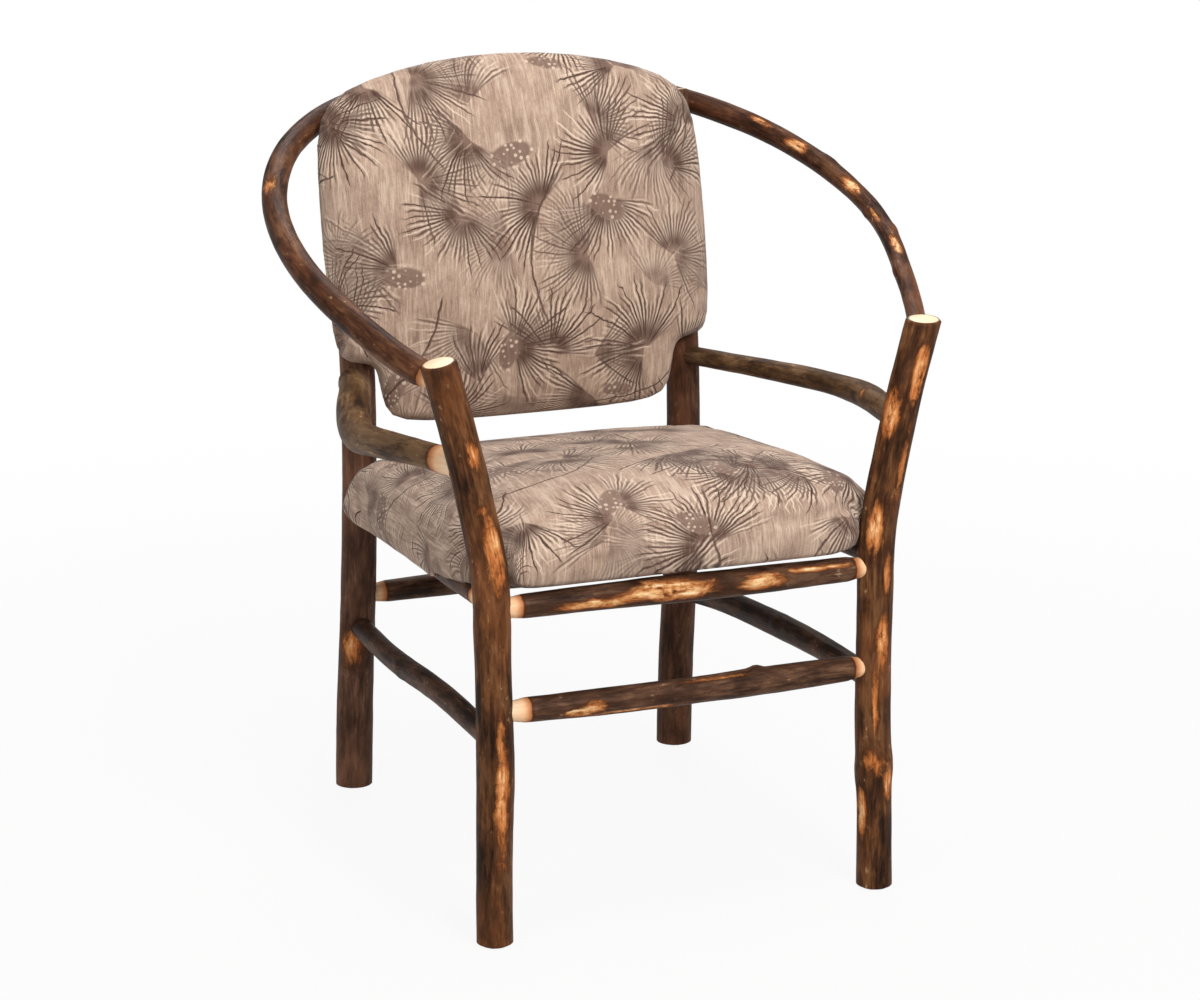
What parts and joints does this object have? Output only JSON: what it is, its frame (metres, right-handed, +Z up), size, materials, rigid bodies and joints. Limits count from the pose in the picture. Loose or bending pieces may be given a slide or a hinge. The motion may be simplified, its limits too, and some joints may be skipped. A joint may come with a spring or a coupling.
{
  "type": "hickory hoop armchair",
  "caption": "Rustic armchair of bark-on hickory poles with a bent hoop rail, crooked branch arms and an upholstered seat and back in a printed cloth.",
  "frame": {"origin": "on the floor under the middle of the chair's outline", "axes": "+Z up, -Y the way the sitter faces, +X to the right as seen from the front"},
  "size_m": [0.6918, 0.6364, 0.8423],
  "materials": {
    "front_post_bark": "bark on, varnished",
    "rear_post_bark": "bark on, varnished",
    "hoop_bark": "bark on, partly peeled, varnished",
    "arm_bark": "bark on, varnished",
    "rung_bark": "bark on, partly peeled, shaved ends",
    "plywood": "raw plywood",
    "foam": "open cell foam",
    "printed_cloth": "woven, printed",
    "outside_cloth": "woven",
    "dust_cloth": "thin non-woven",
    "zinc_screw": "zinc plated"
  },
  "bodies": {
    "root": {"front_post_left": "front_post_bark", "front_post_right": "front_post_bark", "rear_post_left": "rear_post_bark", "rear_post_right": "rear_post_bark", "hoop": "hoop_bark", "arm_left": "arm_bark", "arm_right": "arm_bark", "front_seat_rail": "rung_bark", "front_stretcher": "rung_bark", "rear_seat_rail": "rung_bark", "rear_stretcher": "rung_bark", "left_seat_rail": "rung_bark", "right_seat_rail": "rung_bark", "left_stretcher": "rung_bark", "right_stretcher": "rung_bark", "seat_board": "plywood", "back_board": "plywood", "seat_foam": "foam", "back_foam": "foam", "seat_cover": "printed_cloth", "back_cover": "printed_cloth", "back_outside_panel": "outside_cloth", "seat_dust_cover": "dust_cloth", "hoop_screw_left": "zinc_screw", "hoop_screw_right": "zinc_screw", "back_screw_left_low": "zinc_screw", "back_screw_left_high": "zinc_screw", "back_screw_right_low": "zinc_screw", "back_screw_right_high": "zinc_screw", "seat_screw_left_front": "zinc_screw", "seat_screw_left_rear": "zinc_screw", "seat_screw_right_front": "zinc_screw", "seat_screw_right_rear": "zinc_screw"}
  },
  "joints": []
}
